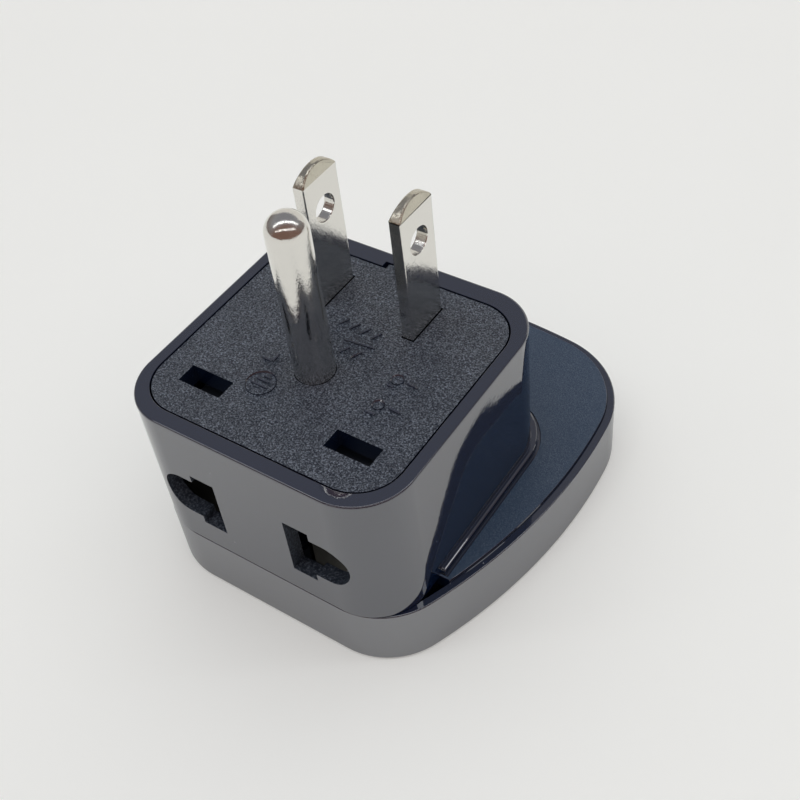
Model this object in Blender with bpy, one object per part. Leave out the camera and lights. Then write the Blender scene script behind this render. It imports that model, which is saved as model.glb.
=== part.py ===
"""Universal travel adapter: a grounded three-pin plug on a cube-shaped housing.

One socket is in the housing's front wall (-Y), the other in its underside (-Z).  Metres, +Z up.
The origin is under the middle of the socket face, which is z = 0, and the pins point up.
"""
import math

import bmesh
import bpy

MM = 0.001
GAP = 0.3 * MM

# Base tray, which carries the lower socket: a flat front, bulging sides and a rounded back.
BASE_WIDTH = 50.3 * MM
BASE_FRONT = -26.3 * MM
BASE_BACK = 26.3 * MM
BASE_WIDEST_Y = 6.9 * MM
BASE_SIDE_RADIUS = 69.6 * MM
BASE_FRONT_RADIUS = 9.6 * MM
BASE_REAR_RADIUS = 13.2 * MM
BASE_BACK_RADIUS = 101.0 * MM
BASE_EDGE = 0.5 * MM
LIP_TOP = 8.8 * MM
LIP_WIDTH = 0.9 * MM
BASE_WALL = 2.0 * MM
BASE_FLOOR = 2.2 * MM
FOOT_SEAT = 7.0 * MM

# Upper housing: the cube, with a foot that drops into the tray.
BODY_HALF_WIDTH = 18.45 * MM
BODY_FRONT = BASE_FRONT
BODY_BACK = 10.1 * MM
BODY_RADIUS = 7.1 * MM
BODY_TOP = 29.2 * MM
BODY_BOTTOM = LIP_TOP + GAP
BODY_WALL = 1.85 * MM
FOOT_TOP = 9.4 * MM
FOOT_FRONT = -16.9 * MM
BEAD_WIDTH = 0.6 * MM
BEAD_TOP = 10.1 * MM
BEAD_FRONT = -16.4 * MM
LEDGE_BOTTOM = 24.8 * MM
LEDGE_TOP = 26.2 * MM
LEDGE_INSET = 1.2 * MM

# Plug plate, set into the top of the cube.
PLATE_HALF_WIDTH = 16.7 * MM
PLATE_FRONT = -24.15 * MM
PLATE_BACK = 7.3 * MM
PLATE_RADIUS = 5.4 * MM
PLATE_BOTTOM = LEDGE_TOP + GAP
PLATE_TOP = 29.15 * MM
KEY_HALF_WIDTH = 3.0 * MM
KEY_DEPTH = 0.9 * MM
KEY_CLEARANCE = 0.6 * MM
WINDOW_X = (7.3 * MM, 13.3 * MM)
WINDOW_Y = (-19.9 * MM, -17.25 * MM)

# Plug pins: the American pattern, 12.7 mm between the blades.
BLADE_X = 6.35 * MM
BLADE_Y = 1.2 * MM
BLADE_WIDTH = 6.3 * MM
BLADE_THICKNESS = 1.52 * MM
BLADE_SHOULDER = BODY_TOP + 16.95 * MM
BLADE_CROWN = 1.65 * MM
BLADE_HOLE_Z = BODY_TOP + 12.2 * MM
BLADE_HOLE_RADIUS = 1.7 * MM
TANG_BOTTOM = 17.2 * MM
TANG_RIVET_Z = 19.8 * MM
LUG_BOTTOM = 24.7 * MM
LUG_TOP = LEDGE_TOP
LUG_REACH = 1.25 * MM
PIN_Y = -11.0 * MM
PIN_RADIUS = 2.4 * MM
PIN_TOP = BODY_TOP + 22.2 * MM
COLLAR_RADIUS = 3.8 * MM
TENON_RADIUS = 1.5 * MM

# Retainer under the plug plate, and its two screws.  It also closes the plate's windows.
RETAINER_BOTTOM = 23.2 * MM
RETAINER_TOP = LUG_BOTTOM - GAP
RETAINER_HALF_WIDTH = 13.9 * MM
RETAINER_FRONT = -20.6 * MM
RETAINER_BACK = 5.8 * MM
RETAINER_SCREW = (11.2 * MM, -6.7 * MM)

# Socket holes: a slot for flat pins, with a round-ended arm for round ones.
SLOT_INNER = 5.0 * MM
SLOT_OUTER = 8.4 * MM
SLOT_HALF_HEIGHT = 4.3 * MM
SIDE_HOLE_Z = 17.2 * MM
SIDE_ARM_END = 13.3 * MM
SIDE_ARM_RADIUS = 3.15 * MM
LOWER_HOLE_Y = -17.8 * MM
LOWER_ARM_END = 14.7 * MM
LOWER_ARM_RADIUS = 2.7 * MM
EARTH_HALF_WIDTH = 2.6 * MM
EARTH_FRONT = -8.4 * MM
EARTH_BACK = 7.8 * MM

# Contacts, stamped and bent from bronze strip, with a dull nickel plating.
STRIP = 0.6 * MM
BUS_THICKNESS = 0.8 * MM
CLIP_BOTTOM = 3.0 * MM
CLIP_TOP = 21.2 * MM
CLIP_WEB_TOP = 12.8 * MM
CLIP_WEB_Y = -13.6 * MM
CLIP_FRONT = -22.6 * MM
CLIP_BEND_Y = (-19.6 * MM, -16.0 * MM)
CLIP_GRIP_Y = -17.8 * MM
CLIP_INNER_X = (4.6 * MM, 5.0 * MM, 5.2 * MM, 4.9 * MM)
CLIP_OUTER_X = (14.8 * MM, 13.2 * MM, 12.7 * MM, 14.6 * MM)
CLIP_NOTCH_X = (5.6 * MM, 13.4 * MM)
BUS_X = BLADE_X + BLADE_THICKNESS / 2 + GAP
BUS_WIDTH = 4.4 * MM
BUS_BOTTOM = 10.8 * MM
BUS_TAB_BOTTOM = 6.0 * MM
BUS_TAB_TOP = 22.2 * MM
BUS_PAST_BLADE = 2.4 * MM
CLIP_RIVET_X = 9.6 * MM
CLIP_RIVET_Z = 8.2 * MM
EARTH_CLIP_X = 3.2 * MM
EARTH_CLIP_GRIP = 2.65 * MM
EARTH_CLIP_TOP = 18.2 * MM
EARTH_GRIP_Y = (-6.0 * MM, 4.4 * MM)
EARTH_FLARE_Y = (-7.6 * MM, -3.2 * MM, 1.8 * MM, 6.8 * MM)
EARTH_EAR_REACH = 3.0 * MM
EARTH_EAR_BOTTOM = 20.5 * MM
RIVET_RADIUS = 1.0 * MM
RIVET_HEAD_RADIUS = 1.7 * MM
RIVET_HEAD = 0.7 * MM

# Moulded carrier that stands the clips on the tray's floor.
CARRIER_HALF_WIDTH = 16.2 * MM
CARRIER_FRONT = -23.9 * MM
CARRIER_BACK = 7.9 * MM
CARRIER_RADIUS = 6.0 * MM
CARRIER_TOP = 10.2 * MM
CLIP_POCKET_X = (4.2 * MM, 15.4 * MM)
CLIP_POCKET_BACK = CLIP_WEB_Y + 2.8 * MM
EARTH_POCKET_HALF = 3.9 * MM

# Case screws, driven up through the tray into bosses of the upper housing.
CASE_SCREWS = {
    "case_screw_front": (0.0, -21.1 * MM),
    "case_screw_left": (-15.5 * MM, 15.8 * MM),
    "case_screw_right": (15.5 * MM, 15.8 * MM),
}
SCREW_RADIUS = 1.2 * MM
SCREW_TOP = 8.3 * MM
SCREW_HEAD_RADIUS = 2.4 * MM
SCREW_HEAD = (0.15 * MM, 1.1 * MM)
BOSS_RADIUS = 2.9 * MM
FRONT_BOSS_TOP = 13.2 * MM
OVERSHOOT = 1.0 * MM


def clear_scene():
    for thing in list(bpy.data.objects):
        bpy.data.objects.remove(thing, do_unlink=True)


def finish(name, colour, roughness, metallic=0.0):
    """Make a Principled material from a linear colour."""
    material = bpy.data.materials.new(name)
    material.use_nodes = True
    shader = material.node_tree.nodes["Principled BSDF"]
    shader.inputs["Base Color"].default_value = (*colour, 1.0)
    shader.inputs["Roughness"].default_value = roughness
    shader.inputs["Metallic"].default_value = metallic
    material.diffuse_color = (*colour, 1.0)
    return material


def arc(centre, radius, start, end, steps):
    """Points along an arc, both ends included, angles in radians."""
    points = []
    for step in range(steps + 1):
        angle = start + (end - start) * step / steps
        points.append((centre[0] + radius * math.cos(angle), centre[1] + radius * math.sin(angle)))
    return points


def circle(centre, radius, steps=20):
    return arc(centre, radius, 0.0, 2.0 * math.pi, steps)[:-1]


def rounded_rectangle(left, front, right, back, radius, steps=6):
    corners = [
        (right - radius, front + radius, -0.5),
        (right - radius, back - radius, 0.0),
        (left + radius, back - radius, 0.5),
        (left + radius, front + radius, 1.0),
    ]
    points = []
    for x, y, half_turns in corners:
        start = half_turns * math.pi
        points += arc((x, y), radius, start, start + 0.5 * math.pi, steps)
    return points


def rectangle(left, front, right, back):
    return [(left, front), (right, front), (right, back), (left, back)]


def meeting_point(first, first_radius, second, second_radius):
    """Where two circles cross, on the side with the larger x."""
    dx = second[0] - first[0]
    dy = second[1] - first[1]
    apart = math.hypot(dx, dy)
    along = (apart ** 2 + first_radius ** 2 - second_radius ** 2) / (2.0 * apart)
    across = math.sqrt(first_radius ** 2 - along ** 2)
    middle = (first[0] + along * dx / apart, first[1] + along * dy / apart)
    candidates = []
    for sign in (-1.0, 1.0):
        candidates.append((middle[0] - sign * across * dy / apart, middle[1] + sign * across * dx / apart))
    return max(candidates)


def base_outline(inset=0.0):
    """The tray's outline, of arcs that run into each other, moved inwards by inset."""
    side = (BASE_WIDTH / 2 - BASE_SIDE_RADIUS, BASE_WIDEST_Y)
    back = (0.0, BASE_BACK - BASE_BACK_RADIUS)
    front_y = BASE_FRONT + BASE_FRONT_RADIUS
    reach = BASE_SIDE_RADIUS - BASE_FRONT_RADIUS
    front_x = side[0] + math.sqrt(reach ** 2 - (front_y - side[1]) ** 2)
    front_corner = (front_x, front_y)
    rear_corner = meeting_point(side, BASE_SIDE_RADIUS - BASE_REAR_RADIUS,
                                back, BASE_BACK_RADIUS - BASE_REAR_RADIUS)
    front_turn = math.atan2(front_corner[1] - side[1], front_corner[0] - side[0])
    rear_turn = math.atan2(rear_corner[1] - side[1], rear_corner[0] - side[0])
    back_turn = math.atan2(rear_corner[1] - back[1], rear_corner[0] - back[0])
    half = arc(front_corner, BASE_FRONT_RADIUS - inset, -0.5 * math.pi, front_turn, 6)
    half += arc(side, BASE_SIDE_RADIUS - inset, front_turn, rear_turn, 6)[1:]
    half += arc(rear_corner, BASE_REAR_RADIUS - inset, rear_turn, back_turn, 7)[1:]
    half += arc(back, BASE_BACK_RADIUS - inset, back_turn, 0.5 * math.pi, 3)[1:]
    return half + [(-x, y) for x, y in reversed(half[:-1])]


def socket_hole(side, arm_end, arm_radius, centre):
    """A flat-pin slot with a round-ended arm, left (-1) or right (+1) of the middle."""
    tip = arc((arm_end - arm_radius, 0.0), arm_radius, -0.5 * math.pi, 0.5 * math.pi, 10)
    points = [(SLOT_INNER, -SLOT_HALF_HEIGHT), (SLOT_OUTER, -SLOT_HALF_HEIGHT), (SLOT_OUTER, -arm_radius)]
    points += tip
    points += [(SLOT_OUTER, arm_radius), (SLOT_OUTER, SLOT_HALF_HEIGHT), (SLOT_INNER, SLOT_HALF_HEIGHT)]
    return [(side * x, y + centre) for x, y in points]


def strip_outline(path, thickness):
    """A bent strip of even thickness along a path, with mitred bends."""
    left = []
    right = []
    for index, point in enumerate(path):
        before = path[max(index - 1, 0)]
        after = path[min(index + 1, len(path) - 1)]
        turn_in = math.atan2(point[1] - before[1], point[0] - before[0])
        turn_out = math.atan2(after[1] - point[1], after[0] - point[0])
        if index == 0:
            turn_in = turn_out
        if index == len(path) - 1:
            turn_out = turn_in
        bend = math.remainder(turn_out - turn_in, 2.0 * math.pi)
        normal = turn_in + bend / 2.0 + 0.5 * math.pi
        reach = thickness / 2.0 / math.cos(bend / 2.0)
        left.append((point[0] + reach * math.cos(normal), point[1] + reach * math.sin(normal)))
        right.append((point[0] - reach * math.cos(normal), point[1] - reach * math.sin(normal)))
    return right + left[::-1]


def add_object(name, shape, material=None):
    """Turn a bmesh into an object of the scene, with its faces pointing out."""
    shape.normal_update()
    bmesh.ops.recalc_face_normals(shape, faces=shape.faces)
    mesh = bpy.data.meshes.new(name)
    shape.to_mesh(mesh)
    shape.free()
    thing = bpy.data.objects.new(name, mesh)
    bpy.context.scene.collection.objects.link(thing)
    if material:
        mesh.materials.append(material)
    return thing


def place(point, height, axis):
    """A point of an outline in space: outlines are (x, y), (y, z) or (x, z) along Z, X or Y."""
    if axis == "X":
        return (height, point[0], point[1])
    if axis == "Y":
        return (point[0], height, point[1])
    return (point[0], point[1], height)


def loft(name, levels, material=None, axis="Z"):
    """A closed solid through outlines of equal length, each at its own height."""
    shape = bmesh.new()
    rings = []
    for outline, height in levels:
        rings.append([shape.verts.new(place(point, height, axis)) for point in outline])
    shape.faces.new(rings[0])
    shape.faces.new(rings[-1])
    for lower, upper in zip(rings, rings[1:]):
        for index in range(len(lower)):
            following = (index + 1) % len(lower)
            shape.faces.new((lower[index], lower[following], upper[following], upper[index]))
    return add_object(name, shape, material)


def prism(name, outline, start, end, material=None, axis="Z"):
    return loft(name, [(outline, start), (outline, end)], material, axis)


def turned(name, profile, centre, material, steps=24, axis="Z"):
    """A turned piece from (radius, height) points, closed on its own axis."""
    shape = bmesh.new()
    points = [shape.verts.new((radius, 0.0, height)) for radius, height in profile]
    edges = [shape.edges.new(pair) for pair in zip(points, points[1:])]
    bmesh.ops.spin(shape, geom=points + edges, cent=(0, 0, 0), axis=(0, 0, 1),
                   angle=2.0 * math.pi, steps=steps, use_merge=True)
    bmesh.ops.remove_doubles(shape, verts=shape.verts, dist=0.00001)
    for vert in shape.verts:
        x, y, z = vert.co
        if axis == "X":
            x, z = z, x
        if axis == "Y":
            y, z = z, y
        vert.co = (x + centre[0], y + centre[1], z + centre[2])
    thing = add_object(name, shape, material)
    thing.data.shade_smooth()
    thing.data.set_sharp_from_angle(angle=math.radians(35))
    return thing


def combine(target, tool, operation):
    """Cut, join or trim target with tool, which is then only a guide."""
    modifier = target.modifiers.new(tool.name, "BOOLEAN")
    modifier.operation = operation
    modifier.solver = "EXACT"
    modifier.object = tool
    tool.hide_render = True
    tool.display_type = "WIRE"


def cut(target, outline, start, end, axis="Z"):
    combine(target, prism("cutter", outline, start, end, axis=axis), "DIFFERENCE")


def join(target, outline, start, end, axis="Z"):
    combine(target, prism("addition", outline, start, end, axis=axis), "UNION")


def foot_outline():
    """The foot's outline: the tray's, inside its lip, cut off straight in front."""
    inset = LIP_WIDTH + GAP
    side = (BASE_WIDTH / 2 - BASE_SIDE_RADIUS, BASE_WIDEST_Y)
    reach = BASE_SIDE_RADIUS - inset
    front_x = side[0] + math.sqrt(reach ** 2 - (FOOT_FRONT - side[1]) ** 2)
    rest = [point for point in base_outline(inset) if point[1] > FOOT_FRONT + GAP]
    return [(-front_x, FOOT_FRONT), (front_x, FOOT_FRONT)] + rest


def make_upper_housing(plastic):
    body = rounded_rectangle(-BODY_HALF_WIDTH, BODY_FRONT, BODY_HALF_WIDTH, BODY_BACK, BODY_RADIUS, 8)
    housing = prism("upper_housing", body, BODY_BOTTOM, BODY_TOP, plastic)
    join(housing, foot_outline(), FOOT_SEAT + GAP, FOOT_TOP)
    bead = rounded_rectangle(-BODY_HALF_WIDTH - BEAD_WIDTH, BEAD_FRONT, BODY_HALF_WIDTH + BEAD_WIDTH,
                             BODY_BACK + BEAD_WIDTH, BODY_RADIUS + BEAD_WIDTH, 8)
    bead = [(x, y) for x, y in bead if y > 0.0]
    bead = [(-BODY_HALF_WIDTH - BEAD_WIDTH, BEAD_FRONT), (BODY_HALF_WIDTH + BEAD_WIDTH, BEAD_FRONT)] + bead
    join(housing, bead, FOOT_TOP - GAP / 2, BEAD_TOP)
    hollow_front = BODY_FRONT + BASE_WALL
    hollow_side = BODY_HALF_WIDTH - BODY_WALL
    hollow_back = BODY_BACK - BODY_WALL
    hollow = rounded_rectangle(-hollow_side, hollow_front, hollow_side, hollow_back,
                               BODY_RADIUS - BASE_WALL)
    cut(housing, hollow, FOOT_SEAT - OVERSHOOT, LEDGE_BOTTOM)
    ledge = rounded_rectangle(-PLATE_HALF_WIDTH + LEDGE_INSET, PLATE_FRONT + LEDGE_INSET,
                              PLATE_HALF_WIDTH - LEDGE_INSET, PLATE_BACK - LEDGE_INSET,
                              PLATE_RADIUS - LEDGE_INSET)
    cut(housing, ledge, LEDGE_BOTTOM - OVERSHOOT, LEDGE_TOP + OVERSHOOT)
    seat = rounded_rectangle(-PLATE_HALF_WIDTH - GAP, PLATE_FRONT - GAP,
                             PLATE_HALF_WIDTH + GAP, PLATE_BACK + GAP, PLATE_RADIUS + GAP)
    cut(housing, seat, LEDGE_TOP, BODY_TOP + OVERSHOOT)
    key = rectangle(-KEY_HALF_WIDTH - KEY_CLEARANCE, PLATE_BACK - OVERSHOOT,
                    KEY_HALF_WIDTH + KEY_CLEARANCE, PLATE_BACK + KEY_DEPTH + GAP)
    cut(housing, key, LEDGE_TOP, BODY_TOP + OVERSHOOT)
    for side in (-1, 1):
        hole = socket_hole(side, SIDE_ARM_END, SIDE_ARM_RADIUS, SIDE_HOLE_Z)
        cut(housing, hole, BODY_FRONT - OVERSHOOT, hollow_front + OVERSHOOT, "Y")
    make_bosses(housing, hollow_front)
    return housing


def make_bosses(housing, hollow_front):
    """Screw bosses under the foot, and one on a rib behind the front wall."""
    for name, centre in CASE_SCREWS.items():
        front = name.endswith("front")
        top = FRONT_BOSS_TOP if front else FOOT_SEAT + 2 * GAP
        join(housing, circle(centre, BOSS_RADIUS), BASE_FLOOR + GAP, top)
        if front:
            half_rib = BOSS_RADIUS / 2
            rib = rectangle(-half_rib, hollow_front - GAP, half_rib, centre[1] - half_rib)
            join(housing, rib, FOOT_TOP + GAP, top)
        cut(housing, circle(centre, SCREW_RADIUS + GAP), -OVERSHOOT, SCREW_TOP + GAP)


def make_plug_plate(plastic):
    outline = rounded_rectangle(-PLATE_HALF_WIDTH, PLATE_FRONT, PLATE_HALF_WIDTH, PLATE_BACK, PLATE_RADIUS)
    plate = prism("plug_plate", outline, PLATE_BOTTOM, PLATE_TOP, plastic)
    key = rectangle(-KEY_HALF_WIDTH, PLATE_BACK - OVERSHOOT, KEY_HALF_WIDTH, PLATE_BACK + KEY_DEPTH)
    join(plate, key, PLATE_BOTTOM + GAP, PLATE_TOP - GAP / 2)
    for side in (-1, 1):
        centre = (side * RETAINER_SCREW[0], RETAINER_SCREW[1])
        join(plate, circle(centre, 2 * SCREW_RADIUS), LUG_BOTTOM, PLATE_BOTTOM + GAP)
        cut(plate, circle(centre, SCREW_RADIUS), LUG_BOTTOM - OVERSHOOT, PLATE_TOP - OVERSHOOT)
        inner, outer = sorted((side * WINDOW_X[0], side * WINDOW_X[1]))
        cut(plate, rectangle(inner, WINDOW_Y[0], outer, WINDOW_Y[1]),
            PLATE_BOTTOM - OVERSHOOT, PLATE_TOP + OVERSHOOT)
        cut(plate, blade_slot(side), PLATE_BOTTOM - OVERSHOOT, PLATE_TOP + OVERSHOOT)
    cut(plate, circle((0.0, PIN_Y), PIN_RADIUS + GAP, 28), PLATE_BOTTOM - OVERSHOOT, PLATE_TOP + OVERSHOOT)
    return plate


def blade_slot(side):
    x = side * BLADE_X
    half_thickness = BLADE_THICKNESS / 2 + GAP
    half_width = BLADE_WIDTH / 2 + GAP
    return rectangle(x - half_thickness, BLADE_Y - half_width, x + half_thickness, BLADE_Y + half_width)


def make_pin_retainer(plastic):
    """Plate that holds the blades' lugs and the pin's collar, and closes the windows from below."""
    outline = rounded_rectangle(-RETAINER_HALF_WIDTH, RETAINER_FRONT,
                                RETAINER_HALF_WIDTH, RETAINER_BACK, 2 * MM, 3)
    retainer = prism("pin_retainer", outline, RETAINER_BOTTOM, RETAINER_TOP, plastic)
    low = RETAINER_BOTTOM - OVERSHOOT
    high = RETAINER_TOP + OVERSHOOT
    for side in (-1, 1):
        cut(retainer, blade_slot(side), low, high)
        cut(retainer, circle((side * RETAINER_SCREW[0], RETAINER_SCREW[1]), SCREW_RADIUS), low, high)
    cut(retainer, circle((0.0, PIN_Y), TENON_RADIUS + GAP), low, high)
    earth_room = rectangle(-EARTH_HALF_WIDTH, 0.0, EARTH_HALF_WIDTH, RETAINER_BACK + OVERSHOOT)
    cut(retainer, earth_room, low, high)


def make_socket_base(plastic):
    """The tray, with a rounded bottom edge, a stepped rim and the lower socket's holes."""
    levels = []
    for step in range(4):
        angle = 0.5 * math.pi * step / 3
        inset = BASE_EDGE * (1.0 - math.sin(angle))
        levels.append((base_outline(inset), BASE_EDGE * (1.0 - math.cos(angle))))
    levels.append((base_outline(), LIP_TOP))
    base = loft("socket_base", levels, plastic)
    cut(base, base_outline(BASE_WALL), BASE_FLOOR, LIP_TOP + OVERSHOOT)
    cut(base, base_outline(LIP_WIDTH), FOOT_SEAT, LIP_TOP + OVERSHOOT)
    low = -OVERSHOOT
    high = BASE_FLOOR + OVERSHOOT
    for side in (-1, 1):
        cut(base, socket_hole(side, LOWER_ARM_END, LOWER_ARM_RADIUS, LOWER_HOLE_Y), low, high)
    earth = rounded_rectangle(-EARTH_HALF_WIDTH, EARTH_FRONT, EARTH_HALF_WIDTH, EARTH_BACK,
                              EARTH_HALF_WIDTH - GAP, 5)
    cut(base, earth, low, high)
    for centre in CASE_SCREWS.values():
        cut(base, circle(centre, SCREW_HEAD_RADIUS + GAP), low, SCREW_HEAD[1] + GAP)
        cut(base, circle(centre, SCREW_RADIUS + GAP), low, high)


def make_contact_carrier(plastic):
    outline = rounded_rectangle(-CARRIER_HALF_WIDTH, CARRIER_FRONT, CARRIER_HALF_WIDTH, CARRIER_BACK,
                                CARRIER_RADIUS, 4)
    carrier = prism("contact_carrier", outline, BASE_FLOOR + GAP, CARRIER_TOP, plastic)
    low = BASE_FLOOR - OVERSHOOT
    high = CARRIER_TOP + OVERSHOOT
    for side in (-1, 1):
        inner, outer = sorted((side * CLIP_POCKET_X[0], side * CLIP_POCKET_X[1]))
        cut(carrier, rectangle(inner, CLIP_FRONT - GAP, outer, CLIP_POCKET_BACK), low, high)
    earth_pocket = rectangle(-EARTH_POCKET_HALF, EARTH_FRONT - 2 * GAP,
                             EARTH_POCKET_HALF, CARRIER_BACK - 2 * GAP)
    cut(carrier, earth_pocket, low, high)
    cut(carrier, circle(CASE_SCREWS["case_screw_front"], BOSS_RADIUS + GAP), low, high)


def make_blade(name, side, metal):
    """Flat plug blade with a crowned tip, a hole, a lug under the plate and a riveted tang."""
    half = BLADE_WIDTH / 2
    crown_radius = (half ** 2 + BLADE_CROWN ** 2) / (2 * BLADE_CROWN)
    crown_centre = (BLADE_Y, BLADE_SHOULDER + BLADE_CROWN - crown_radius)
    spread = math.asin(half / crown_radius)
    crown = arc(crown_centre, crown_radius, 0.5 * math.pi - spread, 0.5 * math.pi + spread, 10)
    outline = [(BLADE_Y + half, TANG_BOTTOM), (BLADE_Y + half, LUG_BOTTOM),
               (BLADE_Y + half + LUG_REACH, LUG_BOTTOM), (BLADE_Y + half + LUG_REACH, LUG_TOP),
               (BLADE_Y + half, LUG_TOP)]
    outline += crown
    outline += [(2 * BLADE_Y - y, z) for y, z in reversed(outline[:5])]
    x = side * BLADE_X
    blade = prism(name, outline, x - BLADE_THICKNESS / 2, x + BLADE_THICKNESS / 2, metal, "X")
    cut(blade, circle((BLADE_Y, BLADE_HOLE_Z), BLADE_HOLE_RADIUS, 24), x - OVERSHOOT, x + OVERSHOOT, "X")
    cut(blade, circle((BLADE_Y, TANG_RIVET_Z), RIVET_RADIUS + GAP, 16), x - OVERSHOOT, x + OVERSHOOT, "X")


def make_ground_pin(metal):
    """Turned pin with a domed tip, a collar under the plate and a peened tenon."""
    dome = arc((0.0, PIN_TOP - PIN_RADIUS), PIN_RADIUS, 0.5 * math.pi, 0.0, 7)
    dome[0] = (0.0, PIN_TOP)
    ear_low = EARTH_EAR_BOTTOM - GAP
    profile = dome + [
        (PIN_RADIUS, LUG_TOP),
        (COLLAR_RADIUS, LUG_TOP),
        (COLLAR_RADIUS, LUG_BOTTOM),
        (TENON_RADIUS, LUG_BOTTOM),
        (TENON_RADIUS, ear_low),
        (TENON_RADIUS + 2 * GAP, ear_low),
        (TENON_RADIUS + GAP, ear_low - RIVET_HEAD),
        (0.0, ear_low - RIVET_HEAD),
    ]
    turned("ground_pin", profile, (0.0, PIN_Y, 0.0), metal, 28)


def make_clip(name, side, metal):
    """Spring clip that grips a pin from below or from the front, on a low back web."""
    leaf_y = (CLIP_FRONT, CLIP_BEND_Y[0], CLIP_GRIP_Y, CLIP_BEND_Y[1], CLIP_WEB_Y)
    path = []
    for mouth, bend, grip, web in (CLIP_INNER_X, CLIP_OUTER_X):
        leaf = list(zip((mouth, bend, grip, bend, web), leaf_y))
        path += leaf[::-1] if path else leaf
    outline = strip_outline([(side * x, y) for x, y in path], STRIP)
    clip = prism(name, outline, CLIP_BOTTOM, CLIP_TOP, metal)
    inner, outer = sorted((side * CLIP_NOTCH_X[0], side * CLIP_NOTCH_X[1]))
    cut(clip, rectangle(inner, CLIP_WEB_Y - OVERSHOOT, outer, CLIP_WEB_Y + OVERSHOOT),
        CLIP_WEB_TOP, CLIP_TOP + OVERSHOOT)
    cut(clip, circle((side * CLIP_RIVET_X, CLIP_RIVET_Z), RIVET_RADIUS + GAP, 16),
        CLIP_WEB_Y - OVERSHOOT, CLIP_WEB_Y + OVERSHOOT, "Y")


def make_bus(name, side, metal):
    """Strip from a clip's web to a blade's tang."""
    tab_y = CLIP_WEB_Y + STRIP / 2 + GAP
    inner, outer = sorted((side * BUS_X, side * (BUS_X + BUS_WIDTH)))
    run = rectangle(inner, tab_y, outer, BLADE_Y + BUS_PAST_BLADE)
    bus = prism(name, run, BUS_BOTTOM, BUS_BOTTOM + BUS_THICKNESS, metal)
    join(bus, rectangle(inner, tab_y, outer, tab_y + BUS_THICKNESS), BUS_TAB_BOTTOM, BUS_BOTTOM + GAP)
    near, far = sorted((side * BUS_X, side * (BUS_X + BUS_THICKNESS)))
    tab = rectangle(near, BLADE_Y - BUS_PAST_BLADE, far, BLADE_Y + BUS_PAST_BLADE)
    join(bus, tab, BUS_BOTTOM + GAP, BUS_TAB_TOP)
    cut(bus, circle((side * CLIP_RIVET_X, CLIP_RIVET_Z), RIVET_RADIUS + GAP, 16),
        tab_y - OVERSHOOT, tab_y + BUS_THICKNESS + OVERSHOOT, "Y")
    cut(bus, circle((BLADE_Y, TANG_RIVET_Z), RIVET_RADIUS + GAP, 16), near - OVERSHOOT, far + OVERSHOOT, "X")


def make_earth_clip(metal):
    """Clip for the earth pin, hung from an ear that the ground pin's tenon is peened over."""
    web_y = EARTH_FRONT + GAP
    right = [(EARTH_CLIP_X, web_y), (EARTH_CLIP_X, EARTH_FLARE_Y[0]), (EARTH_CLIP_GRIP, EARTH_GRIP_Y[0]),
             (EARTH_CLIP_X, EARTH_FLARE_Y[1]), (EARTH_CLIP_X, EARTH_FLARE_Y[2]),
             (EARTH_CLIP_GRIP, EARTH_GRIP_Y[1]), (EARTH_CLIP_X, EARTH_FLARE_Y[3])]
    path = [(-x, y) for x, y in reversed(right)] + right
    clip = prism("earth_clip", strip_outline(path, STRIP), CLIP_BOTTOM, EARTH_CLIP_TOP, metal)
    riser = rectangle(-EARTH_HALF_WIDTH, web_y - STRIP / 2, EARTH_HALF_WIDTH, web_y + STRIP / 2)
    join(clip, riser, EARTH_CLIP_TOP - OVERSHOOT, EARTH_EAR_BOTTOM + BUS_THICKNESS)
    ear = rectangle(-EARTH_HALF_WIDTH, PIN_Y - EARTH_EAR_REACH, EARTH_HALF_WIDTH, web_y)
    join(clip, ear, EARTH_EAR_BOTTOM, EARTH_EAR_BOTTOM + BUS_THICKNESS - GAP / 2)
    cut(clip, circle((0.0, PIN_Y), TENON_RADIUS + GAP),
        EARTH_EAR_BOTTOM - OVERSHOOT, EARTH_EAR_BOTTOM + BUS_THICKNESS + OVERSHOOT)


def make_rivet(name, centre, half_grip, axis, metal):
    profile = [
        (0.0, half_grip + RIVET_HEAD),
        (RIVET_HEAD_RADIUS * 0.7, half_grip + RIVET_HEAD),
        (RIVET_HEAD_RADIUS, half_grip + RIVET_HEAD * 0.4),
        (RIVET_HEAD_RADIUS, half_grip),
        (RIVET_RADIUS, half_grip),
        (RIVET_RADIUS, -half_grip),
        (RIVET_HEAD_RADIUS, -half_grip),
        (RIVET_HEAD_RADIUS, -half_grip - RIVET_HEAD * 0.4),
        (RIVET_HEAD_RADIUS * 0.7, -half_grip - RIVET_HEAD),
        (0.0, -half_grip - RIVET_HEAD),
    ]
    turned(name, profile, centre, metal, 16, axis)


def make_rivets(side_name, side, metal):
    blade_grip = (BLADE_THICKNESS + BUS_THICKNESS + 3 * GAP) / 2
    middle = BLADE_X + (BUS_THICKNESS + GAP) / 2
    make_rivet(side_name + "_blade_rivet", (side * middle, BLADE_Y, TANG_RIVET_Z), blade_grip, "X", metal)
    web_grip = (STRIP + BUS_THICKNESS + 3 * GAP) / 2
    web_middle = CLIP_WEB_Y + (BUS_THICKNESS + GAP) / 2
    make_rivet(side_name + "_clip_rivet", (side * CLIP_RIVET_X, web_middle, CLIP_RIVET_Z),
               web_grip, "Y", metal)


def make_screw(name, centre, head, tip, metal, shank=SCREW_RADIUS, head_radius=SCREW_HEAD_RADIUS):
    profile = [
        (0.0, tip),
        (shank * 0.6, tip),
        (shank, tip - shank * 0.6),
        (shank, head[1]),
        (head_radius, head[1]),
        (head_radius, head[0] + 2 * GAP),
        (head_radius * 0.8, head[0]),
        (0.0, head[0]),
    ]
    turned(name, profile, (centre[0], centre[1], 0.0), metal, 20)


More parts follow.
